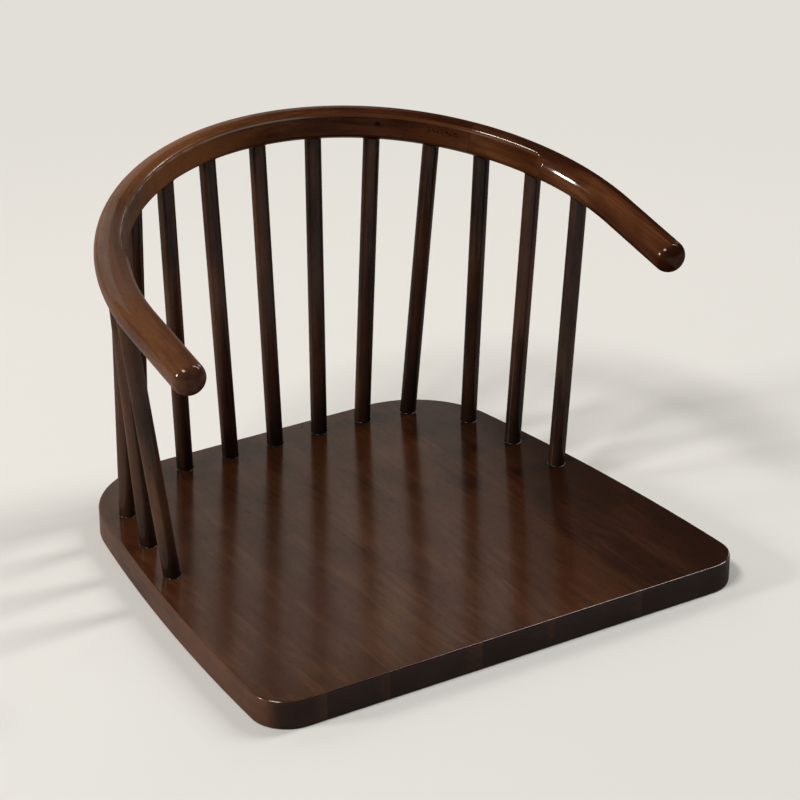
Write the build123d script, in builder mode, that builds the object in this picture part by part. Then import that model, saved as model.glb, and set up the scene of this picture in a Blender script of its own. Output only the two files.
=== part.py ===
"""Legless floor chair: a board seat, thirteen straight spindles and a round bow with arm ends.

Millimetres, +Z up, the front of the chair towards -Y, left and right as seen from the front.
The origin is on the floor under the middle of the seat board.
"""

import os
from math import cos, radians, sin

from build123d import *

# Seat board
seat_depth = 428.0
seat_front_width = 466.0
seat_back_width = 373.5
seat_side_bulge = 11.0
seat_thickness = 25.5
seat_front_corner = 32.0
seat_back_corner = 90.0
seat_arris = 2.0

# Widths of the seat's staves from the middle outward; the edge pair takes the rest of the board
middle_stave_width = 72.0
inner_stave_width = 88.0
outer_stave_width = 58.0

# Spindles and their sockets
spindle_diameter = 15.0
spindle_end_chamfer = 1.0
seat_socket_depth = 16.0
socket_clearance = 0.15
glue_gap = 0.3

# Places of the spindle feet on the seat
back_row_inset = 25.8
back_foot_pitch = 47.0
corner_foot_setback = 6.0
side_foot_start = 78.4
side_foot_pitch = 59.0
side_inset_rear = 23.0
side_inset_front = 21.8

# Places of the spindle tops, in degrees round the bow from its middle
back_top_pitch = 13.5
side_top_start = 52.1
side_top_pitch = 12.8

# Bow: crest rail and two arms
bow_diameter = 28.8
bow_radius = 231.0
arm_straight = 90.0
arm_end_rounding = 12.5
bow_tilt = 12.0
crest_height = 299.5
crest_inset = 3.4

# Flat milled on the inner face of the bow, with a scooped run-out at each end
flat_depth = 4.0
flat_lean = 16.0
flat_half_angle = 66.4
flat_arris = 3.0
scoop_radius = 11.0

# Dowelled joints between the crest rail and the arms
joint_angle = 49.7
dowel_diameter = 6.0
dowel_length = 36.0
dowel_spacing = 9.0
dowel_rise = 6.5
dowel_chamfer = 0.8

BACK_SPINDLES = 7
SIDE_SPINDLES = 3

os.makedirs("parts", exist_ok=True)

bow_half = bow_diameter / 2
spindle_half = spindle_diameter / 2
socket_half = spindle_half + socket_clearance
seat_back = seat_depth / 2
seat_front = -seat_depth / 2

# The bow lies in a tilted plane whose origin is the centre of its half circle
tilt_cos = cos(radians(bow_tilt))
tilt_sin = sin(radians(bow_tilt))
bow_plane = Plane(
    origin=(
        0,
        seat_back - crest_inset - bow_radius * tilt_cos,
        seat_thickness + crest_height - bow_radius * tilt_sin,
    ),
    x_dir=(1, 0, 0),
    z_dir=(0, -tilt_sin, tilt_cos),
)
bow_axis = Axis(bow_plane.origin, bow_plane.z_dir)


def bow_section(angle):
    """Plane across the bow at an angle from its middle: X points outward, Y up, Z to the right arm's end."""
    turn = radians(angle)
    outward = bow_plane.x_dir * sin(turn) + bow_plane.y_dir * cos(turn)
    to_right_end = bow_plane.x_dir * cos(turn) - bow_plane.y_dir * sin(turn)
    return Plane(bow_plane.origin + outward * bow_radius, x_dir=outward, z_dir=to_right_end)


def seat_half_width(y):
    """Half width of the seat at y, along its bowed side."""
    share = (y - seat_front) / seat_depth
    straight = seat_front_width + (seat_back_width - seat_front_width) * share
    return straight / 2 + 4 * seat_side_bulge * share * (1 - share)


def back_station(number):
    """Foot and top of a back spindle, numbered from the middle one, negative to the left."""
    end_number = (BACK_SPINDLES - 1) // 2
    setback = corner_foot_setback if abs(number) == end_number else 0
    foot = Vector(number * back_foot_pitch, seat_back - back_row_inset - setback, seat_thickness)
    return foot, bow_section(number * back_top_pitch).origin


def side_station(number, side):
    """Foot and top of a side spindle, numbered from the rear one; side is -1 left or 1 right."""
    y = seat_back - side_foot_start - number * side_foot_pitch
    inset = side_inset_rear + (side_inset_front - side_inset_rear) * number / (SIDE_SPINDLES - 1)
    foot = Vector(side * (seat_half_width(y) - inset), y, seat_thickness)
    return foot, bow_section(side * (side_top_start + number * side_top_pitch)).origin


def spindle_plane(foot, top, distance):
    """Plane across a spindle's centre line, at a distance from its foot on the seat."""
    along = (top - foot).normalized()
    return Plane(foot + along * distance, z_dir=along)


stations = {}
for count in range(BACK_SPINDLES):
    stations[f"spindle_back_{count + 1}"] = back_station(count - (BACK_SPINDLES - 1) // 2)
for count in range(SIDE_SPINDLES):
    stations[f"spindle_left_{count + 1}"] = side_station(count, -1)
    stations[f"spindle_right_{count + 1}"] = side_station(count, 1)

# Spindles: straight sticks from the floor of the seat socket to the centre line of the bow
for node, (foot, top) in stations.items():
    with BuildPart() as spindle:
        with BuildSketch(spindle_plane(foot, top, -seat_socket_depth)):
            Circle(spindle_half)
        extrude(amount=seat_socket_depth + (top - foot).length)
        chamfer(spindle.edges().filter_by(GeomType.CIRCLE), spindle_end_chamfer)
    spindle.part.label = node
    export_step(spindle.part, f"parts/{node}.step")

# The room of every blind socket, to cut from the seat and from the bow
with BuildPart() as seat_sockets:
    for foot, top in stations.values():
        with BuildSketch(spindle_plane(foot, top, -seat_socket_depth)):
            Circle(socket_half)
        extrude(amount=2 * seat_socket_depth)
with BuildPart() as bow_sockets:
    for foot, top in stations.values():
        with BuildSketch(spindle_plane(foot, top, (top - foot).length + glue_gap)):
            Circle(socket_half)
        extrude(amount=-bow_diameter)

# Seat board in one piece: outline, rounded arrises and blind sockets
front_half = seat_front_width / 2
back_half = seat_back_width / 2
with BuildPart() as seat_board:
    with BuildSketch() as seat_outline:
        with BuildLine():
            Line((-front_half, seat_front), (front_half, seat_front))
            SagittaArc((front_half, seat_front), (back_half, seat_back), -seat_side_bulge)
            Line((back_half, seat_back), (-back_half, seat_back))
            SagittaArc((-back_half, seat_back), (-front_half, seat_front), -seat_side_bulge)
        make_face()
        fillet(seat_outline.vertices().group_by(Axis.Y)[0], seat_front_corner)
        fillet(seat_outline.vertices().group_by(Axis.Y)[-1], seat_back_corner)
    extrude(amount=seat_thickness)
    fillet(seat_board.faces().sort_by(Axis.Z)[-1].edges(), seat_arris)
    fillet(seat_board.faces().sort_by(Axis.Z)[0].edges(), seat_arris)
    add(seat_sockets.part, mode=Mode.SUBTRACT)

# Staves: the board cut front to back along its glue lines, alike on the left and the right
inner_line = middle_stave_width / 2
outer_line = inner_line + inner_stave_width
edge_line = outer_line + outer_stave_width
glue_lines = [-edge_line, -outer_line, -inner_line, inner_line, outer_line, edge_line]
for count in range(len(glue_lines) + 1):
    with BuildPart() as stave:
        add(seat_board.part)
        if count > 0:
            split(bisect_by=Plane.YZ.offset(glue_lines[count - 1]), keep=Keep.TOP)
        if count < len(glue_lines):
            split(bisect_by=Plane.YZ.offset(glue_lines[count]), keep=Keep.BOTTOM)
    node = f"seat_stave_{count + 1}"
    stave.part.label = node
    export_step(stave.part, f"parts/{node}.step")

# The flat's face in the section of the bow, and the dowel places at a joint
flat_distance = bow_half - flat_depth
lean_cos = cos(radians(flat_lean))
lean_sin = sin(radians(flat_lean))
flat_place = Location((-flat_distance * lean_cos, flat_distance * lean_sin), 180 - flat_lean)
dowel_places = [(-dowel_spacing / 2, dowel_rise), (dowel_spacing / 2, dowel_rise)]
dowel_hole_half = dowel_diameter / 2 + socket_clearance
dowel_hole_reach = dowel_length / 2 + glue_gap

# Crest rail: the back of the bow, flat along its whole inner face
with BuildPart() as crest_rail:
    with BuildSketch(bow_section(joint_angle)) as crest_section:
        Circle(bow_half)
        with Locations(flat_place):
            Rectangle(bow_diameter, 2 * bow_diameter, align=(Align.MIN, Align.CENTER), mode=Mode.SUBTRACT)
        fillet(crest_section.vertices(), flat_arris)
    revolve(axis=bow_axis, revolution_arc=2 * joint_angle)
    add(bow_sockets.part, mode=Mode.SUBTRACT)
    for angle in (-joint_angle, joint_angle):
        with BuildSketch(bow_section(angle)):
            with Locations(*dowel_places):
                Circle(dowel_hole_half)
        extrude(amount=dowel_hole_reach, both=True, mode=Mode.SUBTRACT)
crest_rail.part.label = "crest_rail"
export_step(crest_rail.part, "parts/crest_rail.step")

# Right arm: round bar with a domed end; the flat runs into it and scoops out
flat_end = bow_section(flat_half_angle)
scoop_middle = flat_distance + scoop_radius
scoop_plane = Plane(
    flat_end.from_local_coords(Vector(-scoop_middle * lean_cos, scoop_middle * lean_sin)),
    z_dir=flat_end.y_dir * lean_cos + flat_end.x_dir * lean_sin,
)
with BuildPart() as right_arm:
    with BuildSketch(bow_section(90)) as arm_section:
        Circle(bow_half)
    revolve(axis=bow_axis, revolution_arc=90 - joint_angle)
    extrude(arm_section.sketch, amount=arm_straight, dir=-bow_plane.y_dir)
    fillet(right_arm.edges().sort_by(Axis.Y)[0], arm_end_rounding)
    with BuildSketch(flat_end):
        with Locations(flat_place):
            Rectangle(bow_diameter, 2 * bow_diameter, align=(Align.MIN, Align.CENTER))
    revolve(axis=bow_axis, revolution_arc=flat_half_angle - joint_angle, mode=Mode.SUBTRACT)
    with BuildSketch(scoop_plane):
        Circle(scoop_radius)
    extrude(amount=bow_diameter, both=True, mode=Mode.SUBTRACT)
    flat_middle = bow_section((flat_half_angle + joint_angle) / 2).from_local_coords(flat_place.position)
    flat_face = right_arm.faces().sort_by_distance(flat_middle)[0]
    fillet(flat_face.edges().filter_by(GeomType.LINE, reverse=True), flat_arris)
    add(bow_sockets.part, mode=Mode.SUBTRACT)
    with BuildSketch(bow_section(joint_angle)):
        with Locations(*dowel_places):
            Circle(dowel_hole_half)
    extrude(amount=dowel_hole_reach, both=True, mode=Mode.SUBTRACT)
right_arm.part.label = "right_arm"
export_step(right_arm.part, "parts/right_arm.step")

# Left arm: the right arm's mirror image
with BuildPart() as left_arm:
    mirror(right_arm.part, about=Plane.YZ)
left_arm.part.label = "left_arm"
export_step(left_arm.part, "parts/left_arm.step")

# Dowels: two across each joint of the bow, all alike
with BuildPart() as bow_dowels:
    for angle in (-joint_angle, joint_angle):
        with BuildSketch(bow_section(angle)):
            with Locations(*dowel_places):
                Circle(dowel_diameter / 2)
        extrude(amount=dowel_length / 2, both=True)
    chamfer(bow_dowels.edges().filter_by(GeomType.CIRCLE), dowel_chamfer)
bow_dowels.part.label = "bow_dowels"
export_step(bow_dowels.part, "parts/bow_dowels.step")
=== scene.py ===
"""Looks of the legless floor chair: dark stained wood under semi-gloss lacquer, on a pale floor.

Metres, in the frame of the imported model: +Z up, the chair's front towards -Y, X = 0 its middle plane.
Grain and tone patterns are worked out in millimetres.
"""

import math

import bpy
from mathutils import Matrix, Vector


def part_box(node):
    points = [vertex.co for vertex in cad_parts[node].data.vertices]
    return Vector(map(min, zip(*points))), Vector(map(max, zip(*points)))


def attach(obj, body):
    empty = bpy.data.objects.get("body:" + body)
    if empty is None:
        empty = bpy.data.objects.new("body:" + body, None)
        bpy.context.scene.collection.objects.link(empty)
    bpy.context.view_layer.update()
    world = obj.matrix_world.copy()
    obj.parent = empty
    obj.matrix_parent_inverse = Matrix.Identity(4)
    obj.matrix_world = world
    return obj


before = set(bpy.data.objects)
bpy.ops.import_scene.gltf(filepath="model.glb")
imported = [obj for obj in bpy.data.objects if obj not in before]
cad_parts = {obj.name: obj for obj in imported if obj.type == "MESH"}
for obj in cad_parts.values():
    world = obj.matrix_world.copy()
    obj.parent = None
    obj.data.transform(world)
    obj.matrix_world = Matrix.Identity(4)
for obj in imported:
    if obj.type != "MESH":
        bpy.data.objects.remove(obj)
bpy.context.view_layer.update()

# Millimetres in a metre
MM = 1000.0

# The photograph's camera: metres, degrees and millimetres of lens
CAMERA_PLACE = (-1.13113, -1.84418, 1.18318)
CAMERA_DOWN = 25.608
CAMERA_TURN = -31.940
CAMERA_LENS = 126.45
SENSOR = 36.0

# Sizes of the chair that the patterns and beads follow, in millimetres and degrees
STAVES = 7
SPINDLE_DIAMETER = 15.0
SEAT_THICKNESS = 25.5
BOW_DIAMETER = 28.8
BOW_RADIUS = 231.0
BOW_TILT = 12.0
BOW_JOINT = 49.7
FLAT_DEPTH = 4.0
FLAT_LEAN = 16.0
FLAT_HALF_ANGLE = 66.4

# Lacquer beads where the spindles meet the seat and the bow, in metres and radians
FOOT_BEAD = 0.0009
TOP_BEAD = 0.0008
RING_POINTS = 48
RING_HALVINGS = 20
BEAD_SIDES = 24
BEAD_EDGE_ANGLE = 1.0

# Stained wood from its deepest to its warmest tone, as linear colours
SEAT_TONES = ((0.0180, 0.0060, 0.0028, 1), (0.0410, 0.0135, 0.0052, 1), (0.0740, 0.0260, 0.0092, 1))
STICK_TONES = ((0.0175, 0.0092, 0.0066, 1), (0.0440, 0.0176, 0.0092, 1), (0.0880, 0.0320, 0.0120, 1))
BOW_TONES = ((0.0280, 0.0076, 0.0028, 1), (0.0620, 0.0185, 0.0062, 1), (0.1180, 0.0430, 0.0145, 1))

# Colour of a painted sheen, bare beech and its flecks, and thin and thick pools of dried lacquer
PAINTED_SHEEN_COLOUR = (0.1050, 0.0640, 0.0460, 1)
BARE_BEECH = (0.42, 0.24, 0.11, 1)
BEECH_FLECK = (0.26, 0.13, 0.055, 1)
THIN_POOL = (0.0110, 0.0045, 0.0026, 1)
THICK_POOL = (0.0045, 0.0022, 0.0014, 1)

# Patterns of noise: stretch along the grain, scale for a millimetre, detail and roughness
DRIFT_NOISE = (0.35, 0.02, 2.0, 0.5)
RING_NOISE = (0.24, 0.05, 2.0, 0.5)
FIBRE_NOISE = (0.04, 1.0, 3.0, 0.6)
PORE_NOISE = (0.10, 2.1, 1.0, 0.4)
CLOUD_NOISE = (0.42, 0.024, 3.0, 0.55)
STREAK_NOISE = (0.06, 0.16, 2.0, 0.5)
PIT_NOISE = (0.5, 0.8, 2.0, 0.6)
FLECK_NOISE = (0.2, 1.6, 2.0, 0.5)
POOL_NOISE = (1.0, 0.35, 2.0, 0.5)

# Growth rings in millimetres, the grain's relief in metres, how much lighter a painted highlight is, and
# the lacquer
RING_SPACING = 5.2
RING_DRIFT = 16.0
GRAIN_RELIEF = 0.00025
GRAIN_BUMP = 0.22
PAINTED_HIGHLIGHT_LIGHTER = 1.5
PORE_DARKER = 0.25
WOOD_IOR = 1.5
LACQUER_IOR = 1.8

# Staves from left to right: height of the pith in millimetres, taper of the growth rings, and tone
STAVE_PITHS = (-22.0, -60.0, -34.0, -18.0, -46.0, 70.0, -30.0)
STAVE_TAPERS = (0.10, -0.07, 0.09, -0.11, 0.08, 0.10, -0.09)
STAVE_TONES = (0.06, -0.02, 0.02, -0.04, -0.02, -0.06, -0.04)
STAVE_PITH_SHARE = 0.4
STAVE_SEED_STEP = 170.0

# Seat by the way its surface faces, as parts of the normal: edges, upper arris and front
EDGE_FACING = (0.45, 0.85)
ARRIS_FACING = (0.35, 0.80, 0.2)
FRONT_FACING = (0.2, 0.5)

# Spindles: the pith, its turn and pattern from stick to stick, and stretches of painted sheen, dark foot
# and painted shadow under the bow, from the foot or the top
STICK_PITH = 24.0
STICK_TURN = 137.5
STICK_TAPER = 0.02
STICK_SEED_STEP = 90.0
STICK_SHEEN_STRETCH = (65.0, 180.0, 50.0)
STICK_FOOT_STRETCH = (130.0, 10.0)
STICK_TOP_SHADOW_STRETCH = (110.0, 30.0)

# Bow: pith and taper of the growth rings, its pattern, and where the arms' ends start, in millimetres
BOW_PITH = (30.0, -26.0, 0.03)
BOW_SEED = 350.0
RIGHT_ARM_SEED_STEP = 120.0
ARM_END_STRETCH = 40.0

# Directions across the bow's section, as shares of outward and up
BOW_UPPER_SIDE = (0.62, 0.78)
BOW_INNER_TOP = (-0.6, 1.0)

# Flat of the bow: how its edge fades, its upper arris, and its pits and pin knot, in millimetres
FLAT_FADE = (2.6, 1.0)
ARRIS_WIDTH = 2.2
ARRIS_FADE = 0.8
PIT_STRETCH = (160.0, 186.0, 5.0)
PIT_BAND = (0.2, 3.0, 1.0)
KNOT_ALONG = 113.0
KNOT_UP_FACE = 1.6
KNOT_FLATTENING = 1.2
KNOT_EDGE = (3.2, 1.6)

# Pale floor: its near and far colour, half its width in metres, and its fade in millimetres
FLOOR_COLOUR = (0.72, 0.70, 0.655, 1)
FAR_FLOOR = (0.76, 0.735, 0.685, 1)
FLOOR_REACH = 60.0
FLOOR_FADE = (550.0, 1300.0)

# Lamps: name, direction from the chair, distance, width and height in metres, watts and colour
WHITE = (1.0, 1.0, 1.0)
CREAM = (1.0, 0.90, 0.78)
LAMPS = (
    ("right_softbox", (0.695, -0.02, 0.72), 4.8, (0.9, 2.9), 112.0, WHITE),
    ("left_softbox", (-0.51, -0.13, 0.85), 4.8, (1.5, 0.9), 115.0, WHITE),
    ("left_window", (-0.90, 0.25, 0.35), 4.8, (0.8, 0.8), 110.0, WHITE),
    ("right_window", (0.85, 0.40, 0.36), 4.8, (0.9, 1.2), 24.0, WHITE),
    ("back_wall", (-0.03, 0.88, 0.46), 3.4, (4.5, 2.4), 37.0, CREAM),
)
ROOM_COLOUR = (0.95, 0.97, 1.0, 1)
ROOM_STRENGTH = 0.05


class Value:
    """One output of a node tree. Sums, differences, products and quotients add Math nodes."""

    def __init__(self, tree, socket):
        self.tree = tree
        self.socket = socket

    def maths(self, operation, *others):
        return self.tree.node("ShaderNodeMath", {"operation": operation}, self, *others)

    def __add__(self, other):
        return self.maths("ADD", other)

    def __radd__(self, other):
        return self.maths("ADD", other)

    def __sub__(self, other):
        return self.maths("SUBTRACT", other)

    def __rsub__(self, other):
        return self.tree.node("ShaderNodeMath", {"operation": "SUBTRACT"}, other, self)

    def __neg__(self):
        return 0.0 - self

    def __mul__(self, other):
        return self.maths("MULTIPLY", other)

    def __rmul__(self, other):
        return self.maths("MULTIPLY", other)

    def __truediv__(self, other):
        return self.maths("DIVIDE", other)

    def __gt__(self, other):
        return self.maths("GREATER_THAN", other)

    def __lt__(self, other):
        return self.maths("LESS_THAN", other)

    def __abs__(self):
        return self.maths("ABSOLUTE")

    def larger(self, other):
        """The larger of two values."""
        return self.maths("MAXIMUM", other)

    def reach(self, other):
        """Length of a line from its two legs at right angles."""
        return (self * self + other * other).maths("SQRT")

    def ease(self, low, high):
        """A soft step from 0 at low to 1 at high, which falls instead where low is above high."""
        if low > high:
            return 1 - self.ease(high, low)
        settings = {"interpolation_type": "SMOOTHSTEP"}
        return self.tree.node("ShaderNodeMapRange", settings, self, low, high, 0.0, 1.0)

    def within(self, low, high, soft):
        """1 between low and high, falling to 0 over a soft border on each side."""
        return self.ease(low - soft, low) * self.ease(high + soft, high)


class Tree:
    """A node tree, with one method that makes any node."""

    def __init__(self, tree):
        self.nodes = tree.nodes
        self.links = tree.links

    def node(self, kind, settings, *inputs, output=None, **named):
        """Adds a node: its settings first, then its inputs in their order or by their names.

        What comes back is the output of the given name, or else the first one that is in use.
        """
        made = self.nodes.new(kind)
        for key, value in settings.items():
            setattr(made, key, value)
        sockets = [socket for socket in made.inputs if socket.enabled]
        by_name = {socket.name: socket for socket in sockets}
        pairs = list(zip(sockets, inputs)) + [(by_name[key], value) for key, value in named.items()]
        for socket, value in pairs:
            self.feed(socket, value)
        shown = {socket.name: socket for socket in made.outputs if socket.enabled}
        return Value(self, shown[output or next(iter(shown))])

    def feed(self, socket, value):
        """Links a value of the tree, or sets a plain one; None leaves the socket as it is."""
        if isinstance(value, Value):
            self.links.new(value.socket, socket)
        elif value is not None:
            socket.default_value = value


class Finish(Tree):
    """A material around one Principled shader."""

    def __init__(self, name):
        self.material = bpy.data.materials.new(name)
        self.material.use_nodes = True
        super().__init__(self.material.node_tree)
        self.shader = self.nodes["Principled BSDF"]

    def set(self, **sockets):
        """Sets or links the shader's own sockets; an underscore stands for a space."""
        for key, value in sockets.items():
            self.feed(self.shader.inputs[key.replace("_", " ")], value)

    def parts(self, vector):
        """The three parts of a vector."""
        split = self.node("ShaderNodeSeparateXYZ", {}, vector)
        return [Value(self, socket) for socket in split.socket.node.outputs]

    def place(self, middle=(0, 0, 0), turn=(0, 0, 0)):
        """Millimetres from a middle point, in axes turned by Euler angles, as three values."""
        coordinates = self.node("ShaderNodeTexCoord", {}, output="Object")
        size = (1 / MM, 1 / MM, 1 / MM)
        settings = {"vector_type": "TEXTURE"}
        return self.parts(self.node("ShaderNodeMapping", settings, coordinates, middle, turn, size))

    def facing(self):
        """The three parts of the surface's own normal."""
        return self.parts(self.node("ShaderNodeNewGeometry", {}, output="Normal"))

    def mix(self, share, first, second):
        """Colour between two colours."""
        return self.node("ShaderNodeMix", {"data_type": "RGBA"}, share, first, second)

    def bump(self, height, strength, distance):
        """The surface's normal, tipped by a height."""
        return self.node("ShaderNodeBump", {}, strength, distance, Height=height)

    def noise(self, place, pattern):
        """Noise of a pattern, at a place along, across and into the wood."""
        along, across, depth = place
        stretch, *measures = pattern
        vector = self.node("ShaderNodeCombineXYZ", {}, along * stretch, across, depth)
        return self.node("ShaderNodeTexNoise", {"noise_dimensions": "3D"}, vector, *measures)


def scaled(colour, factor):
    """A colour made lighter or darker by a factor."""
    return tuple(factor * part for part in colour[:3]) + (1.0,)


def stained_wood(finish, grain, pith, seed, tones, *, tone, gloss, haze, figure=1.0,
                 cut=0.0, painted_highlight=0.0, painted_sheen=0.0, flaws=0.0):
    """Stained, lacquered hardwood.

    grain is millimetres along, across and into the wood. pith is the middle of the growth rings across
    and into it, with how fast they taper along, and seed sets the pattern apart from other pieces'.
    tones are the deepest, the middle and the warmest colour, tone shifts the wood between them, and
    figure is how strongly it clouds and streaks. gloss is the lacquer's weight and haze its roughness.
    cut is 1 on end grain, the next two are the shares of a painted highlight in a lighter, warmer colour
    and of a painted sheen in a greyer colour, and flaws in pits.
    """
    along, across, depth = grain
    pith_across, pith_depth, taper = pith
    deep, middle, warm = tones
    place = (along, across + seed, depth)

    drift = finish.noise(place, DRIFT_NOISE) - 0.5
    age = (across - pith_across).reach(depth - pith_depth) + along * taper + drift * RING_DRIFT
    rings = (age * (2 * math.pi / RING_SPACING)).maths("SINE").ease(0.25, 1.0)
    rings = rings * finish.noise(place, RING_NOISE).ease(0.38, 0.72)
    fibres = finish.noise(place, FIBRE_NOISE) - 0.5
    pores = finish.noise(place, PORE_NOISE).ease(0.58, 0.70)
    clouds = finish.noise(place, CLOUD_NOISE) - 0.5
    streaks = finish.noise(place, STREAK_NOISE) - 0.5

    shade = (clouds * 1.8 + streaks + fibres * 0.55 - rings * 0.28) * figure + tone + 0.5
    colour = finish.mix(shade.ease(0.0, 0.55), deep, middle)
    colour = finish.mix(shade.ease(0.5, 1.05), colour, warm)
    # Painted highlight: a lighter, warmer colour mixed in by its share
    colour = finish.mix(painted_highlight, colour, scaled(warm, PAINTED_HIGHLIGHT_LIGHTER))
    # Painted sheen: a greyer colour mixed in by its share
    colour = finish.mix(painted_sheen, colour, PAINTED_SHEEN_COLOUR)
    colour = finish.mix((pores * 0.35).larger(flaws), colour, scaled(deep, PORE_DARKER))
    relief = fibres * 0.35 - pores * 0.5 - rings * 0.12 - flaws * 1.5
    finish.set(
        Base_Color=colour,
        Roughness=0.26 + fibres * 0.14 + clouds * 0.10 + pores * 0.12 + cut * 0.25,
        Coat_Weight=gloss + clouds * 0.14 - pores * 0.10 - cut * 0.14 - flaws * 0.2,
        Normal=finish.bump(relief, GRAIN_BUMP, GRAIN_RELIEF),
    )
    finish.set(IOR=WOOD_IOR, Specular_IOR_Level=0.0, Coat_IOR=LACQUER_IOR, Coat_Roughness=haze)


def seat_finish():
    """The seat's staves: each has its own growth rings and tone, and its end grain warms to the right.

    Over the whole seat, painted shade darkens the right side, painted light lightens the front and the
    side faces, and a painted highlight lightens the upper arris. The lacquer is glossiest along the
    front arris.
    """
    finish = Finish("lacquered_seat")
    x, y, z = finish.place()
    boxes = [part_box(f"seat_stave_{number + 1}") for number in range(STAVES)]
    lefts = [low.x * MM for low, high in boxes]
    rights = [high.x * MM for low, high in boxes]
    widths = [right - left for left, right in zip(lefts, rights)]
    piths = [left + width * STAVE_PITH_SHARE for left, width in zip(lefts, widths)]
    seeds = [STAVE_SEED_STEP * number for number in range(STAVES)]

    def by_stave(values):
        """A number that steps from stave to stave across the seat."""
        result = 0.0 * x + values[0]
        for line, before, after in zip(rights, values, values[1:]):
            result = result + (x > line) * (after - before)
        return result

    pith = (by_stave(piths), by_stave(STAVE_PITHS), by_stave(STAVE_TAPERS))
    share = (x - by_stave(lefts)) / by_stave(widths)
    seam = abs(share - 0.5).ease(0.495, 0.5)

    facing_x, facing_y, facing_z = finish.facing()
    cut = abs(facing_y).ease(*EDGE_FACING)
    sides = abs(facing_x).ease(*EDGE_FACING)
    arris = facing_z.within(*ARRIS_FACING)
    front_arris = arris * (-facing_y).ease(*FRONT_FACING)

    # Painted light: the colour lightens towards the front of the seat
    painted_light_front = y.ease(150.0, -190.0)
    # Painted shade: the colour darkens towards the right side of the seat
    painted_shade_right = x.ease(60.0, 200.0)
    end_tone = share.ease(0.62, 1.0) * 0.55 - 0.74
    tone = by_stave(STAVE_TONES) + painted_light_front * 0.12 - painted_shade_right * 0.46
    # Painted light lightens the seat's side faces; the seams and end grain are darker wood
    tone = tone + sides * 0.25 - seam * 0.10 + cut * end_tone
    # Painted highlight: a lighter, warmer colour along the upper arris
    stained_wood(
        finish, (y, x, z), pith, by_stave(seeds), SEAT_TONES,
        tone=tone, gloss=0.30 + front_arris * 0.60, haze=0.165, figure=0.60,
        cut=cut, painted_highlight=arris * (1 - cut) * 0.30,
    )
    return finish.material


def stick_finish(name, foot, top, number):
    """A spindle's wood: the grain along its own line, a dark foot, and a painted sheen and fill light
    above that.

    On the right the painted sheen is weaker, and painted shadow darkens the top under the bow.
    """
    finish = Finish(f"lacquered_{name}")
    x, y, z = finish.place(foot, (top - foot).to_track_quat("Z", "Y").to_euler())
    side = math.radians(STICK_TURN * number)
    pith = (STICK_PITH * math.cos(side), STICK_PITH * math.sin(side), STICK_TAPER)
    on_right = name.startswith("spindle_right")
    # Painted sheen and fill light: a greyer, lighter colour up the middle of the spindle, weaker on the
    # right
    painted_sheen = z.within(*STICK_SHEEN_STRETCH) * (0.06 if on_right else 0.15)
    tone = painted_sheen * 0.7 - z.ease(*STICK_FOOT_STRETCH) * 0.30
    # Painted shadow: the right spindles darken towards the top, under the bow
    if on_right:
        length = (top - foot).length * MM
        tone = tone - (length - z).ease(*STICK_TOP_SHADOW_STRETCH) * 0.30
    stained_wood(
        finish, (z, x, y), pith, STICK_SEED_STEP * number, STICK_TONES,
        tone=tone, gloss=0.16, haze=0.12, painted_sheen=painted_sheen,
    )
    return finish.material


def bow_centre():
    """Centre of the bow's half circle, from the crest rail's box and the bow's own sizes."""
    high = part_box("crest_rail")[1]
    tilt = math.radians(BOW_TILT)
    half = BOW_DIAMETER / 2 / MM
    radius = BOW_RADIUS / MM
    return Vector((0, high.y - half - radius * math.cos(tilt), high.z - half - radius * math.sin(tilt)))


def bow_path(finish):
    """Where a point of the bow is.

    In millimetres: along the bow from its middle, negative to the left; outward and up across its
    section; and how far down a straight arm. Last comes the angle round the half circle, in radians.
    """
    x, y, up = finish.place(bow_centre(), (math.radians(BOW_TILT), 0, 0))
    behind = y.larger(0.0)
    down_arm = (-y).larger(0.0)
    angle = x.maths("ARCTAN2", behind)
    along = angle * BOW_RADIUS + x.maths("SIGN") * down_arm
    across = x.reach(behind) - BOW_RADIUS
    return along, across, up, down_arm, angle


def bow_flat(across, up, angle):
    """1 on the bow's flat, 1 on its upper arris, and millimetres up the flat's face from its middle."""
    lean = math.radians(FLAT_LEAN)
    out_of_face = up * math.sin(lean) - across * math.cos(lean)
    up_face = up * math.cos(lean) + across * math.sin(lean)
    distance = BOW_DIAMETER / 2 - FLAT_DEPTH
    half_face = math.sqrt((BOW_DIAMETER / 2) ** 2 - distance ** 2)
    on_flat = out_of_face.ease(distance - FLAT_FADE[0], distance - FLAT_FADE[1])
    on_flat = on_flat * (abs(angle) < math.radians(FLAT_HALF_ANGLE))
    arris = on_flat * up_face.within(half_face - ARRIS_WIDTH, half_face, ARRIS_FADE)
    return on_flat, arris, up_face


def flat_flaws(finish, grain, up_face):
    """A run of small pits in the flat of the crest rail, and one pin knot."""
    along = grain[0]
    pits = finish.noise(grain, PIT_NOISE).ease(0.50, 0.58)
    pits = pits * along.within(*PIT_STRETCH) * up_face.within(*PIT_BAND)
    knot = (along - KNOT_ALONG).reach((up_face - KNOT_UP_FACE) * KNOT_FLATTENING).ease(*KNOT_EDGE)
    return pits.larger(knot * 0.75)


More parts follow.
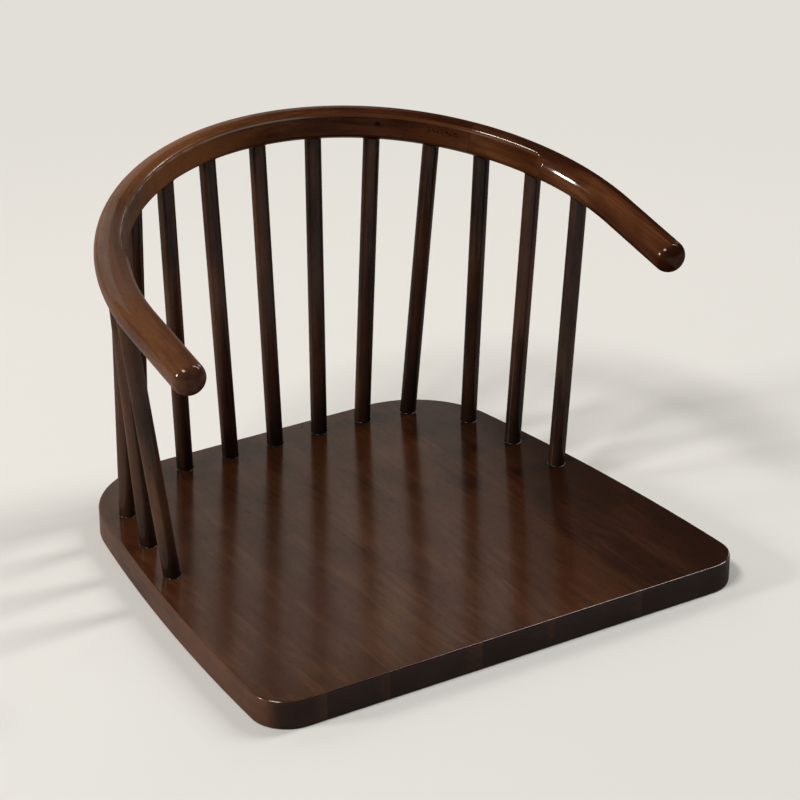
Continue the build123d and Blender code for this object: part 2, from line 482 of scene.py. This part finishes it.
def bow_finish():
    """The bow's wood: the grain follows its half circle and its straight arms.

    The right arm is of another wood than the rest. Stretches are in millimetres along the bow from its
    middle, negative to the left.
    """
    finish = Finish("lacquered_bow")
    along, across, up, down_arm, angle = bow_path(finish)
    on_flat, arris, up_face = bow_flat(across, up, angle)
    grain = (along, across, up)

    # The joint line of the right arm, and end grain on the domed ends of both arms
    joint = math.radians(BOW_JOINT) * BOW_RADIUS
    right_arm = along > joint
    seam = abs(along - joint).ease(0.45, 0.12)
    tilt = math.radians(BOW_TILT)
    facing_y, facing_z = finish.facing()[1:]
    towards_end = facing_y * -math.cos(tilt) - facing_z * math.sin(tilt)
    cut = towards_end.ease(0.10, 0.60) * (down_arm > ARM_END_STRETCH)

    # Upper and lower sides of the right arm, for painted shade above and painted bounce light below
    upwards = across * BOW_UPPER_SIDE[0] + up * BOW_UPPER_SIDE[1]
    top_edge = upwards.ease(9.0, 13.5) * along.ease(260.0, 320.0)
    shoulder = upwards.ease(4.0, 9.0) * along.within(170.0, 300.0, 40.0)
    underside = (-upwards).ease(2.0, 8.0) * along.ease(200.0, 240.0)

    # Stain: warm left of the middle and on the right bend, deeper on both arms, with painted shade and
    # painted bounce light across the right arm's section
    left_tip = along.ease(-385.0, -430.0)
    left_arm = along.ease(-130.0, -230.0)
    left_half = along.ease(60.0, -70.0)
    right_bend = along.ease(110.0, 190.0)
    right_end = along.ease(330.0, 400.0)
    # Painted bounce light on the right arm's underside, turning to painted shade near its end
    painted_underside_tone = 0.10 + along.ease(265.0, 300.0) * 0.18 - along.ease(325.0, 365.0) * 0.76
    tone = left_half * 0.95 - left_arm * 0.48 - left_tip * 0.18 - 0.18
    tone = tone + right_bend * 0.38 - right_arm * 0.14 + right_end * 0.10
    # A dark joint line and darker end grain, then painted shade on the top edge and shoulder and the
    # painted underside tone
    tone = tone - seam * 0.35 - cut * 0.45 - top_edge * 0.35 - shoulder * 0.45 + underside * painted_underside_tone

    # Painted highlight along the arris, and a painted sheen left of the middle, most of all on the flat:
    # a lighter, warmer colour
    thin = along.within(-130.0, -75.0, 50.0) * (0.35 + on_flat * 0.50)
    painted_highlight = (arris * 0.30).larger(thin)

    # Painted sheen on the left, a greyer colour: a little all over, more on the top of the bend and on
    # the flat's end
    inner_top = across * BOW_INNER_TOP[0] + up * BOW_INNER_TOP[1]
    bend_top = along.within(-325.0, -235.0, 40.0) * inner_top.ease(-2.0, 9.0)
    flat_end = along.within(-250.0, -170.0, 30.0) * on_flat
    painted_sheen = bend_top * 0.40 + along.ease(-60.0, -220.0) * 0.15 + flat_end * 0.45

    # Gloss: high on the arris, apart from two dull stretches, and just past the scoop on the right
    dull_crest = along.within(60.0, 180.0, 30.0)
    dull_left = along.ease(-160.0, -205.0)
    glint = arris * (1 - dull_crest * 0.9 - dull_left * 0.75)
    past_scoop = along.within(285.0, 330.0, 15.0) * upwards.within(-4.5, -1.0, 1.5) * (across < 0.0)
    gloss = 0.26 - on_flat * 0.22 + glint * 0.90 + past_scoop * 0.50 - (top_edge + underside) * 0.20

    stained_wood(
        finish, grain, BOW_PITH, BOW_SEED + right_arm * RIGHT_ARM_SEED_STEP, BOW_TONES,
        tone=tone, gloss=gloss, haze=0.10, cut=cut, painted_highlight=painted_highlight, painted_sheen=painted_sheen,
        flaws=flat_flaws(finish, grain, up_face) * on_flat,
    )
    return finish.material


def dowel_finish():
    """Bare beech: pale, with short dark flecks along the grain."""
    finish = Finish("bare_dowel")
    flecks = finish.noise(finish.place(), FLECK_NOISE).ease(0.55, 0.68)
    finish.set(Base_Color=finish.mix(flecks, BARE_BEECH, BEECH_FLECK), Roughness=0.62 - flecks * 0.1)
    return finish.material


def pooled_lacquer():
    """Stain and lacquer that dried in the corner between two pieces: nearly black, and glossy."""
    finish = Finish("pooled_lacquer")
    pools = finish.noise(finish.place(), POOL_NOISE).ease(0.35, 0.70)
    finish.set(
        Base_Color=finish.mix(pools, THIN_POOL, THICK_POOL),
        Roughness=0.40 - pools * 0.10,
        Coat_Weight=0.15 + pools * 0.25,
    )
    finish.set(Specular_IOR_Level=0.1, Coat_IOR=1.5, Coat_Roughness=0.15)
    return finish.material


def stick_line(node):
    """Foot and top of a spindle's centre line, from its end rings."""
    points = [vertex.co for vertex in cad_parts[node].data.vertices]
    middle = sum(point.z for point in points) / len(points)
    lower = [point for point in points if point.z < middle]
    upper = [point for point in points if point.z >= middle]
    return sum(lower, Vector()) / len(lower), sum(upper, Vector()) / len(upper)


def dress():
    """Gives every carried-over node its finish."""
    seat = seat_finish()
    bow = bow_finish()
    dowel = dowel_finish()
    for number, (name, node) in enumerate(sorted(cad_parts.items())):
        if name.startswith("seat_stave"):
            finish = seat
        elif name.startswith("spindle"):
            finish = stick_finish(name, *stick_line(name), number)
        elif name == "bow_dowels":
            finish = dowel
        else:
            finish = bow
        for slot in node.material_slots:
            slot.material = finish


def above_seat(point):
    """How far a point is above the seat."""
    return point.z - SEAT_THICKNESS / MM


def outside_bow(point, centre, turn):
    """How far a point is outside the bow's round section, from the bow's centre and its plane's turn."""
    x, y, z = turn.transposed() @ (point - centre)
    run = math.hypot(x, max(y, 0)) - BOW_RADIUS / MM
    return math.hypot(run, z) - BOW_DIAMETER / 2 / MM


def meeting_ring(foot, top, end, clearance):
    """Points round a spindle where its surface runs into what holds that end, found by halving."""
    along = (top - foot).normalized()
    side = along.orthogonal().normalized()
    other = along.cross(side)
    points = []
    for number in range(RING_POINTS):
        turn = 2 * math.pi * number / RING_POINTS
        out = (side * math.cos(turn) + other * math.sin(turn)) * SPINDLE_DIAMETER / 2 / MM
        free = (foot + top) / 2 + out
        held = end + out
        for halving in range(RING_HALVINGS):
            middle = (free + held) / 2
            if clearance(middle) > 0:
                free = middle
            else:
                held = middle
        points.append(free)
    return points


class Beading(Tree):
    """Geometry nodes that lay a bead of lacquer along every closed ring of edges.

    The bead's section has four hollow sides and four thin edges, so that it runs out on both surfaces.
    """

    def __init__(self):
        self.group = bpy.data.node_groups.new("lacquer_bead", "GeometryNodeTree")
        super().__init__(self.group)
        rings = self.given("Rings", "NodeSocketGeometry")
        size = self.given("Bead Size", "NodeSocketFloat")
        finish = self.given("Finish", "NodeSocketMaterial")
        self.group.interface.new_socket("Beads", in_out="OUTPUT", socket_type="NodeSocketGeometry")
        self.size = size.identifier
        self.finish = finish.identifier
        inputs = self.nodes.new("NodeGroupInput").outputs
        rings, size, finish = [Value(self, inputs[given.name]) for given in (rings, size, finish)]

        line = self.node("GeometryNodeMeshToCurve", {}, rings)
        line = self.node("GeometryNodeSetCurveNormal", {"mode": "Z_UP"}, line)
        circle = "GeometryNodeCurvePrimitiveCircle"
        section = self.node(circle, {"mode": "RADIUS"}, BEAD_SIDES, Radius=1.0)
        place = self.node("GeometryNodeInputPosition", {})
        hollow = self.node("ShaderNodeVectorMath", {"operation": "MULTIPLY"}, place, place)
        hollow = self.node("ShaderNodeVectorMath", {"operation": "MULTIPLY"}, hollow, place)
        hollow = self.node("ShaderNodeVectorMath", {"operation": "SCALE"}, hollow, Scale=size)
        section = self.node("GeometryNodeSetPosition", {}, section, None, hollow)
        beads = self.node("GeometryNodeCurveToMesh", {}, line, section)
        thin_edge = self.node("GeometryNodeInputMeshEdgeAngle", {}) > BEAD_EDGE_ANGLE
        beads = self.node("GeometryNodeSetShadeSmooth", {"domain": "FACE"}, beads, None, True)
        beads = self.node("GeometryNodeSetShadeSmooth", {"domain": "EDGE"}, beads, thin_edge, False)
        beads = self.node("GeometryNodeRealizeInstances", {}, beads)
        beads = self.node("GeometryNodeSetMaterial", {}, beads, None, finish)
        self.feed(self.nodes.new("NodeGroupOutput").inputs["Beads"], beads)

    def given(self, name, kind):
        """A named input of the tree."""
        return self.group.interface.new_socket(name, in_out="INPUT", socket_type=kind)


def lay_beads(name, rings, size, beading, lacquer):
    """One plain mesh of lacquer beads along closed rings of points."""
    points = [point for ring in rings for point in ring]
    edges = []
    for first in range(0, len(points), RING_POINTS):
        edges += [(first + step, first + (step + 1) % RING_POINTS) for step in range(RING_POINTS)]
    mesh = bpy.data.meshes.new(name)
    mesh.from_pydata(points, edges, [])
    piece = bpy.data.objects.new(name, mesh)
    bpy.context.scene.collection.objects.link(piece)

    modifier = piece.modifiers.new("lacquer_bead", "NODES")
    modifier.node_group = beading.group
    modifier[beading.size] = size
    modifier[beading.finish] = lacquer
    shaped = piece.evaluated_get(bpy.context.evaluated_depsgraph_get())
    beads = bpy.data.meshes.new_from_object(shaped)
    piece.modifiers.remove(modifier)
    piece.data = beads
    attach(piece, "root")


def joint_beads():
    """Beads at the feet and at the tops of all the spindles."""
    centre = bow_centre()
    turn = Matrix.Rotation(math.radians(BOW_TILT), 3, "X")

    def clear_of_bow(point):
        return outside_bow(point, centre, turn)

    lines = [stick_line(name) for name in sorted(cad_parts) if name.startswith("spindle")]
    feet = [meeting_ring(foot, top, foot, above_seat) for foot, top in lines]
    tops = [meeting_ring(foot, top, top, clear_of_bow) for foot, top in lines]
    beading = Beading()
    lacquer = pooled_lacquer()
    lay_beads("foot_lacquer_beads", feet, FOOT_BEAD, beading, lacquer)
    lay_beads("top_lacquer_beads", tops, TOP_BEAD, beading, lacquer)


def pale_floor():
    """Plain pale floor: lit round the chair, and one even tone to the eye from there to the horizon."""
    reach = FLOOR_REACH
    mesh = bpy.data.meshes.new("pale_floor")
    corners = [(-reach, -reach, 0), (reach, -reach, 0), (reach, reach, 0), (-reach, reach, 0)]
    mesh.from_pydata(corners, [], [(0, 1, 2, 3)])
    finish = Finish("pale_floor")
    finish.set(Base_Color=FLOOR_COLOUR, Roughness=0.9, Specular_IOR_Level=0.1)
    x, y = finish.place()[:2]
    rays = finish.node("ShaderNodeLightPath", {}).socket.node.outputs
    kinds = ("Is Camera Ray", "Is Glossy Ray", "Is Transmission Ray")
    direct, mirrored, through = [Value(finish, rays[kind]) for kind in kinds]
    far = x.reach(y).ease(*FLOOR_FADE) * direct.larger(mirrored).larger(through)
    even = finish.node("ShaderNodeEmission", {}, FAR_FLOOR, 1.0)
    lit = Value(finish, finish.shader.outputs["BSDF"])
    shown = finish.node("ShaderNodeMixShader", {}, far, lit, even)
    finish.feed(finish.nodes["Material Output"].inputs["Surface"], shown)
    mesh.materials.append(finish.material)
    floor = bpy.data.objects.new("pale_floor", mesh)
    bpy.context.scene.collection.objects.link(floor)


def softbox(name, toward, distance, size, energy, colour):
    """Soft rectangular lamp, seen from the chair in the given direction."""
    light = bpy.data.lights.new(name, "AREA")
    light.color = colour
    light.shape = "RECTANGLE"
    light.size, light.size_y = size
    light.energy = energy
    lamp = bpy.data.objects.new(name, light)
    lamp.location = Vector(toward).normalized() * distance
    lamp.rotation_euler = (-lamp.location).to_track_quat("-Z", "Y").to_euler()
    bpy.context.scene.collection.objects.link(lamp)


def studio():
    """A dim room with soft lamps on both sides and a pale wall behind, and the photograph's camera."""
    world = bpy.data.worlds.new("dim_room")
    world.use_nodes = True
    background = world.node_tree.nodes["Background"]
    background.inputs["Color"].default_value = ROOM_COLOUR
    background.inputs["Strength"].default_value = ROOM_STRENGTH
    bpy.context.scene.world = world
    for lamp in LAMPS:
        softbox(*lamp)

    camera = bpy.data.cameras.new("camera")
    camera.lens = CAMERA_LENS
    camera.sensor_width = SENSOR
    viewer = bpy.data.objects.new("camera", camera)
    viewer.location = CAMERA_PLACE
    viewer.rotation_euler = (math.radians(90 - CAMERA_DOWN), 0, math.radians(CAMERA_TURN))
    bpy.context.scene.collection.objects.link(viewer)
    bpy.context.scene.camera = viewer
    bpy.context.scene.view_settings.view_transform = "Standard"


dress()
joint_beads()
pale_floor()
studio()
